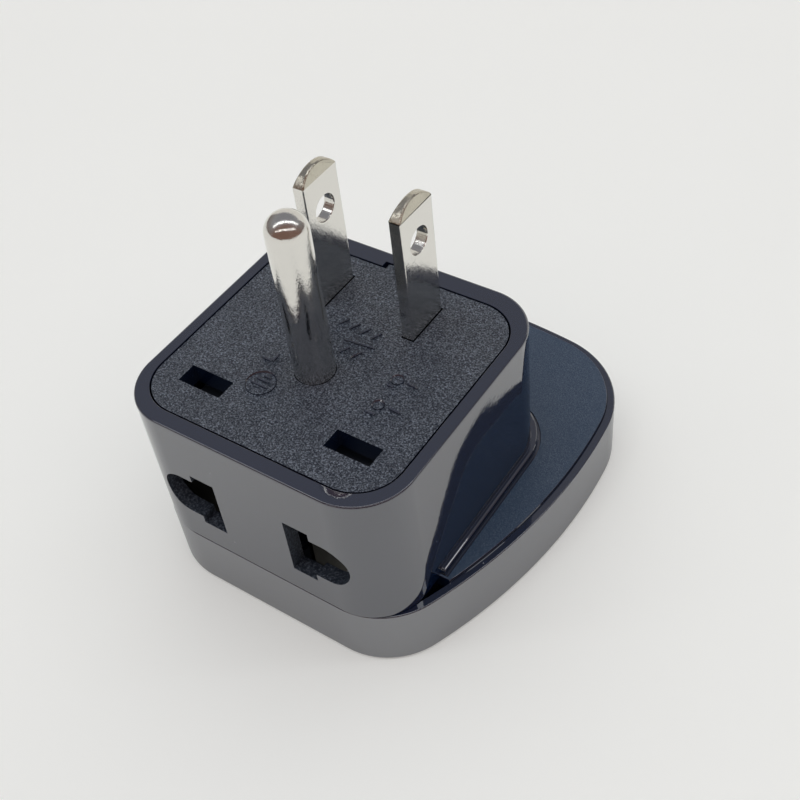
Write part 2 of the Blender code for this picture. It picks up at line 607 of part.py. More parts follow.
def build():
    clear_scene()
    housing_plastic = finish("black_plastic", (0.020, 0.022, 0.026), 0.25)
    plate_plastic = finish("textured_black_plastic", (0.030, 0.033, 0.038), 0.6)
    base_plastic = finish("base_black_plastic", (0.020, 0.022, 0.026), 0.3)
    inner_plastic = finish("inner_plastic", (0.012, 0.012, 0.013), 0.5)
    nickel = finish("nickel_plate", (0.66, 0.65, 0.60), 0.2, 1.0)
    contact_metal = finish("contact_strip", (0.27, 0.26, 0.24), 0.4, 1.0)
    rivet_brass = finish("rivet_brass", (0.65, 0.45, 0.20), 0.35, 1.0)
    screw_steel = finish("zinc_plated_steel", (0.55, 0.55, 0.53), 0.35, 1.0)

    make_upper_housing(housing_plastic)
    make_plug_plate(plate_plastic)
    make_socket_base(base_plastic)
    make_contact_carrier(inner_plastic)
    make_pin_retainer(inner_plastic)
    make_ground_pin(nickel)
    make_earth_clip(contact_metal)
    for side_name, side in (("live", -1), ("neutral", 1)):
        make_blade(side_name + "_blade", side, nickel)
        make_bus(side_name + "_bus", side, contact_metal)
        make_clip(side_name + "_clip", side, contact_metal)
        make_rivets(side_name, side, rivet_brass)
    for name, centre in CASE_SCREWS.items():
        make_screw(name, centre, SCREW_HEAD, SCREW_TOP, screw_steel)
    for name, side in (("retainer_screw_left", -1), ("retainer_screw_right", 1)):
        centre = (side * RETAINER_SCREW[0], RETAINER_SCREW[1])
        head_top = RETAINER_BOTTOM - GAP
        make_screw(name, centre, (head_top - SCREW_RADIUS, head_top), PLATE_TOP - OVERSHOOT - GAP,
                   screw_steel, SCREW_RADIUS - GAP, 2 * SCREW_RADIUS)


build()
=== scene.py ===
import math

import bmesh
import bpy
from mathutils import Matrix, Vector


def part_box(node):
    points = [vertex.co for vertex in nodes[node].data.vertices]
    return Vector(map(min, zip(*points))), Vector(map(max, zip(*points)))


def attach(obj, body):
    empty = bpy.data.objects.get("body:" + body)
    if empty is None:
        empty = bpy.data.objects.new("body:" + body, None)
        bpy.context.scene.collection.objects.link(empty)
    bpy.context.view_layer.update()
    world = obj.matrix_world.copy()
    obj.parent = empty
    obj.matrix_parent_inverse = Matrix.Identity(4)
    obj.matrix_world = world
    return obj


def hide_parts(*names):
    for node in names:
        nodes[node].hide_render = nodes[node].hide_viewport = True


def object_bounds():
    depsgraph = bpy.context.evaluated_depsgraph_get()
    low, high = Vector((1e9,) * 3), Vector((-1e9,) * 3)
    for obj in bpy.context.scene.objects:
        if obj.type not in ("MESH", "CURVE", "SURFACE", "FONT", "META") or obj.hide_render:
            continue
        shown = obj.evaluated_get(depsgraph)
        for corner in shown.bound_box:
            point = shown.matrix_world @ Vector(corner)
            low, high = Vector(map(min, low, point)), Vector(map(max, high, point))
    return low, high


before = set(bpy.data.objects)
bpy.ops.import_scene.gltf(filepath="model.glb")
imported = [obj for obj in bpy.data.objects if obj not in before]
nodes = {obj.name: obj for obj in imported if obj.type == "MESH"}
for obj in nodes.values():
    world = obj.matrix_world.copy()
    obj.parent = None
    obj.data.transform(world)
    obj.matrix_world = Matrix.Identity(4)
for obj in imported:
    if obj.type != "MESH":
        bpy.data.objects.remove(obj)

cad_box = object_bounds()
MM = 0.001


# ---------------------------------------------------------------------------------------------
# Studio: a pale opal table top with a card of the same sheet behind it, in a dim room.  Two long
# parallel strip lights and a wide soft ceiling light it, and the camera looks down on the front
# right corner.  The ceiling light is left out of reflections.
# ---------------------------------------------------------------------------------------------

def linear(code):
    """An sRGB hex colour as the linear colour that shaders take."""
    channels = [int(code[at:at + 2], 16) / 255.0 for at in (0, 2, 4)]
    return [c / 12.92 if c <= 0.04045 else ((c + 0.055) / 1.055) ** 2.4 for c in channels] + [1.0]


def add(tree, kind, links=None, **settings):
    """Adds a node: links fill its sockets with values or other nodes' outputs."""
    new = tree.nodes.new(kind)
    for name, value in settings.items():
        setattr(new, name, value)
    for socket, value in (links or {}).items():
        if isinstance(value, bpy.types.NodeSocket):
            tree.links.new(value, new.inputs[socket])
        else:
            new.inputs[socket].default_value = value
    return new


def new_material(name):
    """An empty material, its tree and the place its shader goes."""
    material = bpy.data.materials.new(name)
    material.use_nodes = True
    tree = material.node_tree
    tree.nodes.clear()
    output = add(tree, "ShaderNodeOutputMaterial")
    return material, tree, output


def table_top():
    """Pale opal sheet, faintly lit from behind: matt, with a very faint cloudiness centimetres across."""
    material, tree, output = new_material("pale_opal_table")
    place = add(tree, "ShaderNodeTexCoord")
    cloud = add(tree, "ShaderNodeTexNoise", {"Vector": place.outputs["Object"], "Scale": 18.0, "Detail": 2.0})
    shade = add(tree, "ShaderNodeMix", {0: cloud.outputs["Fac"], "A": linear("e6e8e4"),
                                        "B": linear("e9ebe7")}, data_type="RGBA")
    surface = add(tree, "ShaderNodeBsdfPrincipled", {
        "Base Color": shade.outputs["Result"], "Roughness": 0.75, "IOR": 1.45,
        "Emission Color": linear("fffffc"), "Emission Strength": 0.19})
    tree.links.new(surface.outputs[0], output.inputs["Surface"])
    return material


def move(shape, x, y, z):
    bmesh.ops.translate(shape, verts=shape.verts, vec=(x, y, z))


def turn(shape, degrees, axis):
    """Turns a shape about an axis through the origin."""
    matrix = Matrix.Rotation(math.radians(degrees), 3, axis)
    bmesh.ops.rotate(shape, verts=shape.verts, cent=(0, 0, 0), matrix=matrix)


TABLE_WIDTH = 6.0
TABLE_DROP = 0.02 * MM
CARD_DISTANCE = 0.95
CARD_HEIGHT = 0.86
CARD_HALF_WIDTH = 1.0
CARD_LEAN = 0.1
CARD_TURN = 20
table_surface = table_top()
shape = bmesh.new()
bmesh.ops.create_grid(shape, x_segments=8, y_segments=8, size=TABLE_WIDTH / 2)
table_mesh = bpy.data.meshes.new("table_top")
shape.to_mesh(table_mesh)
shape.clear()
left = shape.verts.new((-CARD_HALF_WIDTH, 0, 0))
right = shape.verts.new((CARD_HALF_WIDTH, 0, 0))
edge = shape.edges.new((left, right))
raised = bmesh.ops.extrude_edge_only(shape, edges=[edge])
top = [part for part in raised["geom"] if isinstance(part, bmesh.types.BMVert)]
bmesh.ops.translate(shape, verts=top, vec=(0, CARD_LEAN, CARD_HEIGHT))
move(shape, 0, CARD_DISTANCE, 0)
turn(shape, CARD_TURN, "Z")
card_mesh = bpy.data.meshes.new("white_card")
shape.to_mesh(card_mesh)
shape.free()
for name, mesh in (("table_top", table_mesh), ("white_card", card_mesh)):
    mesh.materials.append(table_surface)
    staged = bpy.data.objects.new(name, mesh)
    staged.location.z = cad_box[0].z - TABLE_DROP
    bpy.context.scene.collection.objects.link(staged)

CAMERA_PLACE = Vector((65.93, -78.25, 120.88)) * MM
CAMERA_AIM = Vector((6.09, -4.51, 21.2)) * MM
CAMERA_ROLL = math.radians(-7.65)
FOCAL_LENGTH = 52.06
camera = bpy.data.cameras.new("camera")
camera.lens = FOCAL_LENGTH
camera.sensor_width = 36.0
camera.clip_start = 0.005
camera_object = bpy.data.objects.new("camera", camera)
bpy.context.scene.collection.objects.link(camera_object)
aim = (CAMERA_AIM - CAMERA_PLACE).to_track_quat("-Z", "Y").to_matrix().to_4x4()
camera_object.matrix_world = Matrix.Translation(CAMERA_PLACE) @ aim @ Matrix.Rotation(CAMERA_ROLL, 4, "Z")
bpy.context.scene.camera = camera_object

CEILING = 1.5
ACROSS = Vector((0.62, -0.78, 0.0)).normalized()
ALONG = Matrix.Rotation(math.atan2(0.62, 0.78), 4, "Z")
for name, length, width, offset, watts in (
        ("ceiling_strip_above", 4.6, 0.22, 0.1, 7.5),
        ("ceiling_strip_in_front", 4.6, 0.2, 1.32, 6.3),
        ("white_ceiling", 3.6, 3.6, 0.2, 23.5)):
    light = bpy.data.lights.new(name, "AREA")
    light.shape = "RECTANGLE"
    light.size, light.size_y = length, width
    light.energy = watts
    light.color = linear("f9fcff")[:3]
    lamp = bpy.data.objects.new(name, light)
    bpy.context.scene.collection.objects.link(lamp)
    lamp.matrix_world = Matrix.Translation(ACROSS * offset + Vector((0, 0, CEILING))) @ ALONG
    lamp.visible_glossy = name != "white_ceiling"

# The room is grey above and behind, and browner and darker on the camera's side.
world = bpy.data.worlds.new("dim_room")
world.use_nodes = True
world.node_tree.nodes.clear()
sky = add(world.node_tree, "ShaderNodeTexCoord")
height = add(world.node_tree, "ShaderNodeSeparateXYZ", {0: sky.outputs["Generated"]})
room = add(world.node_tree, "ShaderNodeValToRGB", {0: height.outputs["Z"]})
for place, colour in ((0.0, "766c68"), (0.35, "858182"), (0.62, "8c8c90"), (0.8, "86868c")):
    stop = room.color_ramp.elements.new(place)
    stop.color = linear(colour)
room.color_ramp.elements.remove(room.color_ramp.elements[0])
room.color_ramp.elements.remove(room.color_ramp.elements[-1])
towards = add(world.node_tree, "ShaderNodeVectorMath", {0: sky.outputs["Generated"], 1: ACROSS},
              operation="DOT_PRODUCT")
nearer = add(world.node_tree, "ShaderNodeMapRange", {"Value": towards.outputs["Value"], "From Min": -0.1,
                                                     "From Max": 0.5})
walls = add(world.node_tree, "ShaderNodeMix", {0: nearer.outputs[0], "A": room.outputs[0],
                                               "B": linear("785f56")}, data_type="RGBA")
dim = add(world.node_tree, "ShaderNodeBackground", {"Color": walls.outputs["Result"], "Strength": 1.0})
add(world.node_tree, "ShaderNodeOutputWorld", {"Surface": dim.outputs[0]})
bpy.context.scene.world = world
bpy.context.scene.view_settings.view_transform = "Standard"


# ---------------------------------------------------------------------------------------------
# Socket base: the lower half of the case, a tray injection moulded in gloss black ABS.  It has a
# flat front, bulging sides, a lip round the top, and the lower socket's holes in its floor.
# ---------------------------------------------------------------------------------------------

base_low, base_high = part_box("socket_base")
BASE_TOP = base_high.z + 0.1 * MM
BASE_LIP = 1.0 * MM
BASE_SEAT = 7.0 * MM
BASE_WALL = 2.0 * MM
BASE_FLOOR = 2.2 * MM
FRONT_CORNER = 9.6 * MM
SIDE_BULGE = 69.6 * MM
REAR_CORNER = 13.2 * MM
BACK_BULGE = 101.0 * MM
WIDEST_Y = 6.9 * MM
WALL_MIDDLE = 18.5 * MM
CLEAR = 1 * MM


def gloss_abs(name, base, roughness, ior):
    """Gloss black ABS from a polished tool: walls a touch hollow where they shrank between the corners,
    slow waves, a fine orange peel, a hazy patchiness from handling and a few specks of dust.  Its IOR is
    set well above ABS's 1.54, because the object mirrors the table more strongly than 1.54 gives."""
    material, tree, output = new_material(name)
    place = add(tree, "ShaderNodeTexCoord").outputs["Object"]
    handling = add(tree, "ShaderNodeTexNoise", {"Vector": place, "Scale": 1 / (7.0 * MM), "Detail": 3.0})
    haze = add(tree, "ShaderNodeMapRange", {
        "Value": handling.outputs["Fac"], "From Min": 0.3, "From Max": 0.7,
        "To Min": roughness * 0.85, "To Max": roughness * 1.2})
    specks = add(tree, "ShaderNodeTexVoronoi", {"Vector": place, "Scale": 1 / (2.4 * MM)}, feature="F1")
    dust = add(tree, "ShaderNodeMath", {0: specks.outputs["Distance"], 1: 0.035}, operation="LESS_THAN")
    rare = add(tree, "ShaderNodeSeparateColor", {0: specks.outputs["Color"]})
    chosen = add(tree, "ShaderNodeMath", {0: rare.outputs["Red"], 1: 0.35}, operation="LESS_THAN")
    speck = add(tree, "ShaderNodeMath", {0: dust.outputs[0], 1: chosen.outputs[0]}, operation="MULTIPLY")
    colour = add(tree, "ShaderNodeMix", {0: speck.outputs[0], "A": linear(base), "B": linear("8d9298")},
                 data_type="RGBA")
    level = add(tree, "ShaderNodeSeparateXYZ", {0: place})
    from_middle = add(tree, "ShaderNodeMath", {0: level.outputs["Z"], 1: WALL_MIDDLE}, operation="SUBTRACT")
    hollow = add(tree, "ShaderNodeMath", {0: from_middle.outputs[0], 1: from_middle.outputs[0]},
                 operation="MULTIPLY")
    shrunk = add(tree, "ShaderNodeBump", {"Height": hollow.outputs[0], "Distance": 3.4})
    waves = add(tree, "ShaderNodeTexNoise", {"Vector": place, "Scale": 1 / (8.0 * MM), "Detail": 0.5})
    peel = add(tree, "ShaderNodeTexNoise", {"Vector": place, "Scale": 1 / (0.45 * MM), "Detail": 2.0})
    sunk = add(tree, "ShaderNodeBump", {"Height": waves.outputs["Fac"], "Distance": 0.05 * MM,
                                        "Normal": shrunk.outputs[0]})
    skin = add(tree, "ShaderNodeBump", {"Height": peel.outputs["Fac"], "Distance": 0.0014 * MM,
                                        "Normal": sunk.outputs[0]})
    surface = add(tree, "ShaderNodeBsdfPrincipled", {
        "Base Color": colour.outputs["Result"], "Roughness": haze.outputs[0], "IOR": ior,
        "Normal": skin.outputs[0]})
    tree.links.new(surface.outputs[0], output.inputs["Surface"])
    return material


def trace(start, moves):
    """A flat outline on z = 0: a move is a point to run straight to, or a turn about a centre."""
    shape = bmesh.new()
    last = first = shape.verts.new((*start, 0.0))
    for move in moves:
        if len(move) == 3:
            centre, degrees, steps = move
            turned = bmesh.ops.spin(shape, geom=[last], cent=(*centre, 0.0), axis=(0, 0, 1),
                                    angle=math.radians(degrees), steps=steps)
            last = [part for part in turned["geom_last"] if isinstance(part, bmesh.types.BMVert)][-1]
        else:
            following = shape.verts.new((*move, 0.0))
            shape.edges.new((last, following))
            last = following
    if (last.co - first.co).length > 0.01 * MM:
        shape.edges.new((last, first))
    bmesh.ops.remove_doubles(shape, verts=shape.verts, dist=0.001 * MM)
    return shape


def fill(shape, bottom, top):
    """Fills an outline and pulls it up into a solid between two heights."""
    bmesh.ops.contextual_create(shape, geom=shape.edges)
    move(shape, 0, 0, bottom)
    pulled = bmesh.ops.extrude_face_region(shape, geom=shape.faces[:])
    tops = [part for part in pulled["geom"] if isinstance(part, bmesh.types.BMVert)]
    bmesh.ops.translate(shape, verts=tops, vec=(0, 0, top - bottom))
    shape.normal_update()
    bmesh.ops.recalc_face_normals(shape, faces=shape.faces)
    return shape


def base_solid(inset, bottom, top):
    """A solid of the base's outline, moved in by inset: half is swept, the other half mirrored."""
    side = Vector((base_high.x - SIDE_BULGE, WIDEST_Y))
    back = Vector((0.0, base_high.y - BACK_BULGE))
    front_y = base_low.y + FRONT_CORNER
    reach = SIDE_BULGE - FRONT_CORNER
    front = Vector((side.x + math.sqrt(reach ** 2 - (front_y - side.y) ** 2), front_y))
    apart = (back - side).length
    to_side = SIDE_BULGE - REAR_CORNER
    to_back = BACK_BULGE - REAR_CORNER
    along = (apart ** 2 + to_side ** 2 - to_back ** 2) / (2 * apart)
    across = math.sqrt(to_side ** 2 - along ** 2)
    step = (back - side) / apart
    rear = side + along * step + across * Vector((-step.y, step.x))
    turns = [math.degrees(math.atan2(*(centre - pivot).yx))
             for centre, pivot in ((front, side), (rear, side), (rear, back))]
    start = (front.x, base_low.y + inset)
    shape = trace((0.0, start[1]), [
        start,
        (front, turns[0] + 90.0, 16),
        (side, turns[1] - turns[0], 24),
        (rear, turns[2] - turns[1], 20),
        (back, 90.0 - turns[2], 8),
    ])
    bmesh.ops.delete(shape, geom=[e for e in shape.edges if max(abs(v.co.x) for v in e.verts) < 0.01 * MM],
                     context="EDGES")
    bmesh.ops.mirror(shape, geom=shape.verts[:] + shape.edges[:], axis="X", merge_dist=0.01 * MM)
    return fill(shape, bottom, top)


def level_edges(shape, height):
    """The edges that lie at one height."""
    return [edge for edge in shape.edges if all(abs(vert.co.z - height) < 0.001 * MM for vert in edge.verts)]


def soften(shape, edges, width, segments):
    bmesh.ops.bevel(shape, geom=edges, offset=width, segments=segments, affect="EDGES", profile=0.5,
                    material=-1)


def add_piece(name, shape, materials, edge=0.0):
    """Puts a finished bmesh in the scene as a piece of the adapter, its edges eased by a little."""
    mesh = bpy.data.meshes.new(name)
    shape.to_mesh(mesh)
    shape.free()
    thing = bpy.data.objects.new(name, mesh)
    bpy.context.scene.collection.objects.link(thing)
    for material in materials:
        mesh.materials.append(material)
    mesh.shade_smooth()
    mesh.set_sharp_from_angle(angle=math.radians(32))
    if edge:
        ease = thing.modifiers.new("eased_edges", "BEVEL")
        ease.width = edge
        ease.segments = 2
        ease.limit_method = "ANGLE"
        ease.angle_limit = math.radians(40)
        ease.use_clamp_overlap = True
    flats = thing.modifiers.new("true_flats", "WEIGHTED_NORMAL")
    flats.keep_sharp = True
    flats.weight = 50
    return thing


def carve(piece, shape, operation="DIFFERENCE"):
    """Cuts a bmesh out of a piece, or joins it on, and keeps only the result."""
    tool_mesh = bpy.data.meshes.new("tool")
    shape.to_mesh(tool_mesh)
    shape.free()
    tool = bpy.data.objects.new("tool", tool_mesh)
    bpy.context.scene.collection.objects.link(tool)
    cutter = piece.modifiers.new("cutter", "BOOLEAN")
    cutter.operation = operation
    cutter.solver = "EXACT"
    cutter.object = tool
    piece.modifiers.move(len(piece.modifiers) - 1, 0)
    others = [modifier for modifier in piece.modifiers if modifier != cutter]
    for modifier in others:
        modifier.show_viewport = False
    graph = bpy.context.evaluated_depsgraph_get()
    result = bpy.data.meshes.new_from_object(piece.evaluated_get(graph))
    piece.modifiers.remove(cutter)
    for modifier in others:
        modifier.show_viewport = True
    piece.data = result
    bpy.data.objects.remove(tool)


SLOT_INNER = 5.0 * MM
SLOT_OUTER = 8.4 * MM
SLOT_HALF = 4.3 * MM


def keyhole(side, arm_end, arm_radius, depth):
    """A slot for flat pins with a round-ended arm for round ones, as a solid standing on z = 0."""
    arm = (arm_end - arm_radius, 0.0)
    shape = trace((SLOT_INNER, -SLOT_HALF), [
        (SLOT_OUTER, -SLOT_HALF), (SLOT_OUTER, -arm_radius), (arm[0], -arm_radius), (arm, 180.0, 24),
        (SLOT_OUTER, arm_radius), (SLOT_OUTER, SLOT_HALF), (SLOT_INNER, SLOT_HALF)])
    fill(shape, 0.0, depth)
    if side < 0:
        bmesh.ops.scale(shape, verts=shape.verts, vec=(-1, 1, 1))
        bmesh.ops.reverse_faces(shape, faces=shape.faces)
    return shape


def block(low, high, corner=0.0, segments=12):
    """A box between two corners, with its upright edges rounded."""
    shape = bmesh.new()
    bmesh.ops.create_cube(shape, size=1.0)
    middle = (Vector(low) + Vector(high)) / 2
    bmesh.ops.scale(shape, verts=shape.verts, vec=Vector(high) - Vector(low))
    move(shape, *middle)
    if corner:
        upright = [edge for edge in shape.edges if abs(edge.verts[0].co.z - edge.verts[1].co.z) > 0.0001 * MM]
        soften(shape, upright, corner, segments)
    return shape


def drum(centre, radius, bottom, top, segments=40):
    """A round solid standing upright."""
    shape = bmesh.new()
    bmesh.ops.create_cone(shape, cap_ends=True, segments=segments, radius1=radius, radius2=radius,
                          depth=top - bottom)
    move(shape, centre[0], centre[1], (bottom + top) / 2)
    return shape


gloss_black = gloss_abs("gloss_black_abs", "0d1930", 0.022, 2.3)
base_gloss = gloss_abs("gloss_black_abs_base", "0d1930", 0.05, 3.0)

shape = base_solid(0.0, 0.0, BASE_TOP)
soften(shape, level_edges(shape, 0.0), 0.5 * MM, 4)
soften(shape, level_edges(shape, BASE_TOP), 0.2 * MM, 3)
socket_base = add_piece("socket_base_shell", shape, [base_gloss, gloss_black], 0.08 * MM)
carve(socket_base, base_solid(BASE_WALL, BASE_FLOOR, BASE_TOP + CLEAR))
carve(socket_base, base_solid(BASE_LIP, BASE_SEAT, BASE_TOP + CLEAR))
LOWER_HOLE_Y = -17.8 * MM
LOWER_ARM_END = 14.7 * MM
LOWER_ARM_RADIUS = 2.7 * MM
EARTH_HOLE = ((-2.6 * MM, -8.4 * MM, -CLEAR), (2.6 * MM, 7.8 * MM, BASE_FLOOR + CLEAR), 2.5 * MM)
SCREW_HOLE = 1.35 * MM
for side in (-1, 1):
    hole = keyhole(side, LOWER_ARM_END, LOWER_ARM_RADIUS, BASE_FLOOR + 2 * CLEAR)
    move(hole, 0, LOWER_HOLE_Y, -CLEAR)
    carve(socket_base, hole)
carve(socket_base, block(*EARTH_HOLE))
case_screws = ["case_screw_front", "case_screw_left", "case_screw_right"]
for name in case_screws:
    low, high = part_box(name)
    centre = (low + high) / 2
    carve(socket_base, drum(centre, 2.7 * MM, -CLEAR, 1.4 * MM))
    carve(socket_base, drum(centre, SCREW_HOLE, -CLEAR, BASE_FLOOR + CLEAR))
# The outer wall mirrors more strongly than the lip and the inside.
for polygon in socket_base.data.polygons:
    outside = polygon.center.xy.length > 15 * MM and abs(polygon.normal.z) < 0.4
    polygon.material_index = 0 if outside and polygon.center.xy.dot(polygon.normal.xy) > 0 else 1
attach(socket_base, "root")
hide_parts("socket_base")


# ---------------------------------------------------------------------------------------------
# Contact carrier and pin retainer: two plain insulators moulded in nylon, coloured near black as
# painted shade for the dark insides seen through the holes.  The carrier stands the clips on the
# base's floor, and the retainer holds the pins up against the plug plate.
# ---------------------------------------------------------------------------------------------

def moulded_nylon(name, colour):
    """Nylon in the given colour: waxy and dull, with faint grey flow marks from the gate."""
    material, tree, output = new_material(name)
    place = add(tree, "ShaderNodeTexCoord").outputs["Object"]
    flow = add(tree, "ShaderNodeTexNoise", {"Vector": place, "Scale": 1 / (5.0 * MM), "Detail": 3.0,
                                            "Distortion": 1.5})
    tint = add(tree, "ShaderNodeMix", {0: flow.outputs["Fac"], "A": linear(colour), "B": linear("3b414b")},
               data_type="RGBA")
    grain = add(tree, "ShaderNodeTexNoise", {"Vector": place, "Scale": 1 / (0.3 * MM), "Detail": 2.0})
    skin = add(tree, "ShaderNodeBump", {"Height": grain.outputs["Fac"], "Distance": 0.006 * MM})
    surface = add(tree, "ShaderNodeBsdfPrincipled", {
        "Base Color": tint.outputs["Result"], "Roughness": 0.5, "IOR": 1.53, "Normal": skin.outputs[0]})
    tree.links.new(surface.outputs[0], output.inputs["Surface"])
    return material


# The nylon is coloured near black as painted shade for the dark insides seen through the holes; its grey flow
# marks are real.
nylon = moulded_nylon("nylon_painted_near_black_as_shade", "2b313b")
for name in ("contact_carrier", "pin_retainer"):
    nodes[name].data.materials.clear()
    nodes[name].data.materials.append(nylon)


# ---------------------------------------------------------------------------------------------
# Contacts: clips, buses and the earth clip, stamped and bent from bronze strip with a nickel plating
# whose colour is painted dark as painted shade for the deep insides of the holes, and the headed
# brass rivets that hold them.
# ---------------------------------------------------------------------------------------------

def worked_metal(name, colour, tarnish_colour, roughness):
    """Mill-finish metal: rolling marks along the strip and faint patches of tarnish."""
    material, tree, output = new_material(name)
    place = add(tree, "ShaderNodeTexCoord").outputs["Object"]
    stretched = add(tree, "ShaderNodeMapping", {"Vector": place, "Scale": (1.0, 1.0, 0.08)})
    rolling = add(tree, "ShaderNodeTexNoise", {"Vector": stretched.outputs[0], "Scale": 1 / (0.12 * MM)})
    tarnish = add(tree, "ShaderNodeTexNoise", {"Vector": place, "Scale": 1 / (4.0 * MM), "Detail": 4.0})
    patch = add(tree, "ShaderNodeMapRange", {"Value": tarnish.outputs["Fac"], "From Min": 0.45,
                                             "From Max": 0.8})
    tint = add(tree, "ShaderNodeMix", {0: patch.outputs[0], "A": linear(colour), "B": linear(tarnish_colour)},
               data_type="RGBA")
    dull = add(tree, "ShaderNodeMapRange", {"Value": rolling.outputs["Fac"], "To Min": roughness * 0.8,
                                            "To Max": roughness * 1.3})
    skin = add(tree, "ShaderNodeBump", {"Height": rolling.outputs["Fac"], "Distance": 0.003 * MM})
    surface = add(tree, "ShaderNodeBsdfPrincipled", {
        "Base Color": tint.outputs["Result"], "Metallic": 1.0, "Roughness": dull.outputs[0],
        "Normal": skin.outputs[0]})
    tree.links.new(surface.outputs[0], output.inputs["Surface"])
    return material


# The strip's nickel is painted far darker than plated nickel: painted shade for the clips seen deep inside
# the holes. The tarnish patches are real.
strip_nickel_painted_shade = worked_metal("nickelled_bronze_strip_painted_dark_as_shade", "5e5c57", "45433f", 0.45)
rivet_brass = worked_metal("headed_rivet_brass", "bd9445", "8f6a34", 0.36)
for name, node in nodes.items():
    if name.endswith(("_clip", "_bus")):
        node.data.materials.clear()
        node.data.materials.append(strip_nickel_painted_shade)
    if name.endswith("_rivet"):
        node.data.materials.clear()
        node.data.materials.append(rivet_brass)


# ---------------------------------------------------------------------------------------------
# Plug blades: punched from 1.5 mm brass strip, coined to a crowned and chamfered tip, pierced,
# and nickel plated.  Each has a lug under the plug plate and a tang that is riveted to its bus.
# ---------------------------------------------------------------------------------------------

def nickel_plate(name, colour, roughness, dent):
    """Bright nickel on punched brass: it mirrors softly, with a fine drawn grain up and down that frays
    every reflection, shallow dents, and patches where the plating is hazier."""
    material, tree, output = new_material(name)
    place = add(tree, "ShaderNodeTexCoord").outputs["Object"]
    stretched = add(tree, "ShaderNodeMapping", {"Vector": place, "Scale": (1.0, 1.0, 0.3)})
    grain = add(tree, "ShaderNodeTexNoise", {"Vector": stretched.outputs[0], "Scale": 1 / (0.14 * MM),
                                             "Detail": 2.0})
    dents = add(tree, "ShaderNodeTexNoise", {"Vector": place, "Scale": 1 / (1.1 * MM), "Detail": 2.0})
    patches = add(tree, "ShaderNodeTexNoise", {"Vector": place, "Scale": 1 / (1.6 * MM), "Detail": 4.0})
    dull = add(tree, "ShaderNodeMapRange", {
        "Value": patches.outputs["Fac"], "From Min": 0.35, "From Max": 0.75,
        "To Min": roughness * 0.7, "To Max": roughness * 1.5})
    uneven = add(tree, "ShaderNodeBump", {"Height": dents.outputs["Fac"], "Distance": dent})
    skin = add(tree, "ShaderNodeBump", {"Height": grain.outputs["Fac"], "Distance": 0.012 * MM,
                                        "Normal": uneven.outputs[0]})
    surface = add(tree, "ShaderNodeBsdfPrincipled", {
        "Base Color": linear(colour), "Metallic": 1.0, "Roughness": dull.outputs[0],
        "Normal": skin.outputs[0]})
    tree.links.new(surface.outputs[0], output.inputs["Surface"])
    return material


nickel = nickel_plate("bright_nickel", "e4e2dc", 0.13, 0.014 * MM)
# The coined tips are rougher and more dented, and their nickel is also painted darker and browner: painted
# shade on the facets.
coined_nickel_painted_shade = nickel_plate("coined_nickel_painted_shade", "c9c4b5", 0.27, 0.12 * MM)
BLADE_HOLE = 1.68 * MM
BLADE_HOLE_DROP = 6.15 * MM
LUG = 1.25 * MM
LUG_BOTTOM = 24.7 * MM
LUG_TOP = 26.2 * MM
TIP_HALF_THICKNESS = 0.42 * MM
TANG_RIVET_Z = 19.8 * MM
TANG_HOLE = 1.3 * MM

for name, tip_drop, crown in (("live_blade", 0.1 * MM, 1.58 * MM), ("neutral_blade", 0.4 * MM, 1.45 * MM)):
    low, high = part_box(name)
    centre = (low + high) / 2
    thickness = high.x - low.x
    tip = high.z - tip_drop
    front = low.y + LUG - centre.y
    back = high.y - LUG - 0.12 * MM - centre.y
    middle = (front + back) / 2
    half = (back - front) / 2
    shoulder = tip - crown
    crown_radius = (half ** 2 + crown ** 2) / (2 * crown)
    spread = 2 * math.degrees(math.asin(half / crown_radius))
    outline = trace((back, low.z), [
        (back, LUG_BOTTOM), (back + LUG, LUG_BOTTOM), (back + LUG, LUG_TOP), (back, LUG_TOP),
        (back, shoulder), ((middle, tip - crown_radius), spread, 24),
        (front, LUG_TOP), (front - LUG, LUG_TOP), (front - LUG, LUG_BOTTOM), (front, LUG_BOTTOM),
        (front, low.z)])
    shape = fill(outline, -thickness / 2, thickness / 2)
    lean = (thickness / 2 - TIP_HALF_THICKNESS) / crown
    for face_side in (-1, 1):
        cut = bmesh.ops.bisect_plane(
            shape, geom=shape.verts[:] + shape.edges[:] + shape.faces[:],
            plane_co=(0, shoulder, face_side * thickness / 2), plane_no=(0, lean, face_side),
            clear_outer=True)
        rim = [part for part in cut["geom_cut"] if isinstance(part, bmesh.types.BMEdge)]
        bmesh.ops.contextual_create(shape, geom=rim)
    bmesh.ops.rotate(shape, verts=shape.verts, cent=(0, 0, 0),
                     matrix=Matrix(((0, 0, 1), (1, 0, 0), (0, 1, 0))))
    move(shape, centre.x, centre.y, 0)
    shape.normal_update()
    bmesh.ops.recalc_face_normals(shape, faces=shape.faces)
    blade = add_piece(name + "_plated", shape, [nickel, coined_nickel_painted_shade], 0.16 * MM)
    for height, radius in ((high.z - BLADE_HOLE_DROP, BLADE_HOLE), (TANG_RIVET_Z, TANG_HOLE)):
        punch = drum((0, 0), radius, -2 * CLEAR, 2 * CLEAR)
        turn(punch, 90, "Y")
        move(punch, centre.x, centre.y, height)
        carve(blade, punch)
    # Faces on the coined tip take the darker nickel, whose colour is painted shade.
    for polygon in blade.data.polygons:
        on_tip = polygon.center.z > shoulder + 0.01 * MM
        polygon.material_index = 1 if on_tip and abs(polygon.normal.x) < 0.999 else 0
    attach(blade, "root")
    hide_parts(name)


# ---------------------------------------------------------------------------------------------
# Ground pin: turned from brass rod and nickel plated, with a domed tip, a collar that the
# retainer grips and a tenon peened over the earth clip.
# ---------------------------------------------------------------------------------------------

